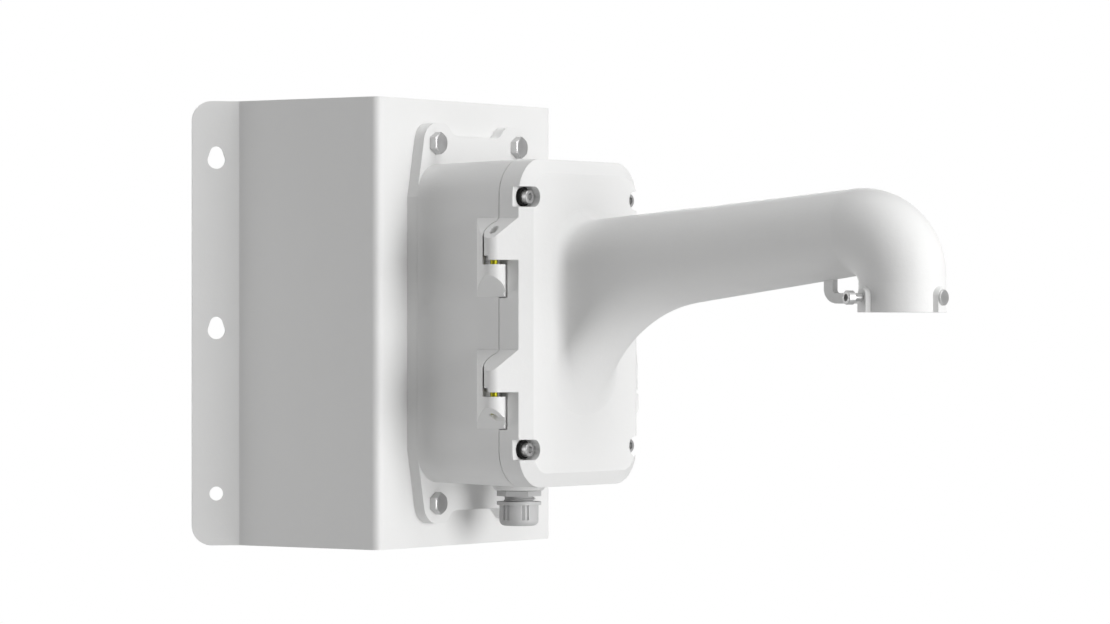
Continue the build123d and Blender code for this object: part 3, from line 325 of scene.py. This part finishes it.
def straight_sided_neck():
    """Skin over the cast neck: straight sides, round ends and a round root; it ends inside the pipe."""
    rings = [straight_sided_ring(-SKIN_SINK, SKIN_SKIRT), straight_sided_ring(-SKIRT_TOP, SKIN_SKIRT)]
    for step in range(ROOT_STEPS):
        turn = math.pi / 2 * step / ROOT_STEPS
        rings.append(straight_sided_ring(ROOT_ROUND * (1 - math.cos(turn)) + ROOT_LIFT, SKIN_OFFSET))
    for step in range(NECK_STEPS + 1):
        share = step / NECK_STEPS
        sink = SKIN_END_SINK * max(share - SKIN_FADE_START, 0.0) / (1 - SKIN_FADE_START)
        rings.append(straight_sided_ring(ROOT_ROUND + (NECK_LENGTH - ROOT_ROUND) * share, SKIN_OFFSET - sink))
    inner = [NECK_LENGTH * (NECK_STEPS - step) / NECK_STEPS for step in range(NECK_STEPS + 1)]
    rings += [oval_ring(ahead) for ahead in inner] + [oval_ring(-SKIN_SINK)]
    mesh = bmesh.new()
    made = [[mesh.verts.new(Vector(point) * MM) for point in ring] for ring in rings]
    for first, second in zip(made, made[1:] + made[:1]):
        for i in range(NECK_COLUMNS):
            j = (i + 1) % NECK_COLUMNS
            mesh.faces.new((first[i], first[j], second[j], second[i]))
    bmesh.ops.recalc_face_normals(mesh, faces=mesh.faces)
    for face in mesh.faces:
        face.smooth = True
    data = bpy.data.meshes.new("neck_skin")
    mesh.to_mesh(data)
    mesh.free()
    piece = bpy.data.objects.new("neck_skin", data)
    bpy.context.scene.collection.objects.link(piece)
    dress(piece, "cover", "white_casting")


def helix_ridge(name, start, axis, side, length, pitch, root, crest, turn_steps=40):
    """Screw thread: a V ridge wound round an axis from the given side, between two radii."""
    axis = Vector(axis).normalized()
    side = Vector(side).normalized()
    other = axis.cross(side)
    half_foot = pitch * RIDGE_HALF_FOOT
    half_crest = pitch * RIDGE_HALF_CREST
    turns = (length - 2 * half_foot) / pitch
    steps = max(int(turns * turn_steps), 4)
    mesh = bmesh.new()
    rings = []
    for step in range(steps + 1):
        angle = 2 * math.pi * turns * step / steps
        along = half_foot + pitch * turns * step / steps
        fade = min(1.0, step / RIDGE_FADE_STEPS, (steps - step) / RIDGE_FADE_STEPS)
        top = root + (crest - root) * fade
        out = side * math.cos(angle) + other * math.sin(angle)
        profile = ((root, -half_foot), (top, -half_crest), (top, half_crest), (root, half_foot))
        ring = [mesh.verts.new(Vector(start) + out * radius + axis * (along + shift))
                for radius, shift in profile]
        rings.append(ring)
    for first, second in zip(rings, rings[1:]):
        for i in range(4):
            j = (i + 1) % 4
            mesh.faces.new((first[i], first[j], second[j], second[i]))
    mesh.faces.new(rings[0][::-1])
    mesh.faces.new(rings[-1])
    bmesh.ops.recalc_face_normals(mesh, faces=mesh.faces)
    data = bpy.data.meshes.new(name)
    mesh.to_mesh(data)
    mesh.free()
    piece = bpy.data.objects.new(name, data)
    bpy.context.scene.collection.objects.link(piece)
    return piece


def dress(piece, body, slot):
    """Gives a piece its finish and the body that it moves with."""
    piece.data.materials.append(MATERIALS[slot])
    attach(piece, body)


def mount_of(name):
    """The record's mount of this name."""
    return next(mount for mount in frame["record"]["mounts"] if mount["name"] == name)


def camera_thread():
    """Female pipe thread inside the collar, where the camera is screwed on."""
    mount = mount_of("camera_thread")
    length = mount["dims"]["length_mm"] * MM
    x, y, z = mount["pos_m"]
    bore = mount["dims"]["r_mm"] * MM
    start = (x, y, z - length / 2 + CAMERA_THREAD_MARGIN)
    wound = length - 2 * CAMERA_THREAD_MARGIN
    thread = helix_ridge("camera_thread_ridge", start, (0, 0, 1), (1, 0, 0), wound, CAMERA_THREAD_PITCH,
                         bore + CAMERA_THREAD_ROOT, bore - CAMERA_THREAD_DEPTH, CAMERA_THREAD_STEPS)
    dress(thread, "cover", "white_casting")


def gland_thread():
    """Coarse thread on the gland's neck, between its hexagon and the cap nut."""
    x, y, _ = mount_of("gland_cable_bore")["pos_m"]
    thread = helix_ridge("gland_neck_thread", (x, y, GLAND_THREAD_TOP), (0, 0, -1), GLAND_THREAD_SIDE,
                         GLAND_THREAD_LENGTH, GLAND_THREAD_PITCH, GLAND_THREAD_ROOT, GLAND_THREAD_CREST)
    dress(thread, "mount", "grey_nylon")


def lock_screw_thread():
    """Fine thread on the lock screw's shank, between its head and the collar."""
    low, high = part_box("collar_lock_screw")
    turn = math.radians(LOCK_ANGLE)
    outward = Vector((-math.sin(turn), -math.cos(turn), 0))
    collar = Vector(mount_of("camera_thread")["pos_m"])
    collar.z = (low.z + high.z) / 2
    thread = helix_ridge("lock_screw_thread", collar + outward * LOCK_THREAD_START, outward, (0, 0, 1),
                         LOCK_THREAD_LENGTH, LOCK_THREAD_PITCH, LOCK_THREAD_ROOT, LOCK_THREAD_CREST)
    dress(thread, "cover", "stainless")


finish_nodes()
straight_sided_neck()
camera_thread()
gland_thread()
lock_screw_thread()


def make_world():
    """White surround: full strength to the camera, weaker in mirrors, and only a little light elsewhere."""
    world = bpy.data.worlds.new("studio")
    bpy.context.scene.world = world
    world.use_nodes = True
    tree = world.node_tree
    tree.nodes.clear()
    even = add_node(tree, "ShaderNodeBackground", Strength=AMBIENT, Color=(1, 1, 1, 1))
    seen = add_node(tree, "ShaderNodeBackground", Strength=1.0, Color=(1, 1, 1, 1))
    path = tree.nodes.new("ShaderNodeLightPath")
    mirrored = add_node(tree, "ShaderNodeMath", operation="MULTIPLY")
    mirrored.inputs[1].default_value = MIRRORED_SHARE
    share = add_node(tree, "ShaderNodeMath", operation="MAXIMUM")
    tree.links.new(path.outputs["Is Glossy Ray"], mirrored.inputs[0])
    tree.links.new(path.outputs["Is Camera Ray"], share.inputs[0])
    tree.links.new(mirrored.outputs[0], share.inputs[1])
    mix = tree.nodes.new("ShaderNodeMixShader")
    tree.links.new(share.outputs[0], mix.inputs["Fac"])
    tree.links.new(even.outputs[0], mix.inputs[1])
    tree.links.new(seen.outputs[0], mix.inputs[2])
    output = tree.nodes.new("ShaderNodeOutputWorld")
    tree.links.new(mix.outputs[0], output.inputs["Surface"])


def make_lamp(name, turn, rise, distance, level):
    """Area lamp that gives a white surface facing it the stated level."""
    lamp = bpy.data.lights.new(name, "AREA")
    lamp.shape = "DISK"
    lamp.size = LAMP_SIZE
    lamp.energy = level * math.pi ** 2 * (distance ** 2 + (LAMP_SIZE / 2) ** 2)
    piece = bpy.data.objects.new(name, lamp)
    bpy.context.scene.collection.objects.link(piece)
    turn, rise = math.radians(turn), math.radians(rise)
    towards = Vector((math.sin(turn) * math.cos(rise), -math.cos(turn) * math.cos(rise), math.sin(rise)))
    piece.location = Vector((0, STUDIO_CENTRE_Y, 0)) + towards * distance
    piece.rotation_euler = towards.to_track_quat("Z", "Y").to_euler()
    piece.visible_camera = False


def make_floor():
    """Plain pale floor below the bracket; it looks nearly white and keeps the shadow."""
    bpy.ops.mesh.primitive_circle_add(vertices=FLOOR_SIDES, radius=FLOOR_RADIUS, fill_type="NGON",
                                      location=(0, STUDIO_CENTRE_Y, FLOOR_Z))
    floor = bpy.context.active_object
    floor.name = "floor"
    material, tree, shader = new_material("pale_floor")
    shader.inputs["Base Color"].default_value = (FLOOR_COLOUR, FLOOR_COLOUR, FLOOR_COLOUR, 1)
    shader.inputs["Roughness"].default_value = 0.9
    shader.inputs["Specular IOR Level"].default_value = 0.1
    path = tree.nodes.new("ShaderNodeLightPath")
    lift = add_node(tree, "ShaderNodeMath", operation="MULTIPLY")
    lift.inputs[1].default_value = FLOOR_LIFT
    tree.links.new(path.outputs["Is Camera Ray"], lift.inputs[0])
    shader.inputs["Emission Color"].default_value = (1, 1, 1, 1)
    tree.links.new(lift.outputs[0], shader.inputs["Emission Strength"])
    floor.data.materials.append(material)


def make_camera():
    """Level camera with a little vertical shift, at the photograph's place and length."""
    camera = bpy.data.cameras.new("camera")
    camera.sensor_width = SENSOR
    camera.lens = SENSOR * FOCAL_PIXELS / IMAGE_WIDTH
    camera.shift_y = HORIZON_BELOW_CENTRE / IMAGE_WIDTH
    piece = bpy.data.objects.new("camera", camera)
    bpy.context.scene.collection.objects.link(piece)
    piece.location = CAMERA_PLACE
    piece.rotation_euler = (math.pi / 2, 0, -CAMERA_TURN)
    bpy.context.scene.camera = piece


make_world()
for lamp_name, lamp_values in LAMPS.items():
    make_lamp(lamp_name, *lamp_values)
make_floor()
make_camera()
bpy.context.scene.view_settings.view_transform = "Standard"
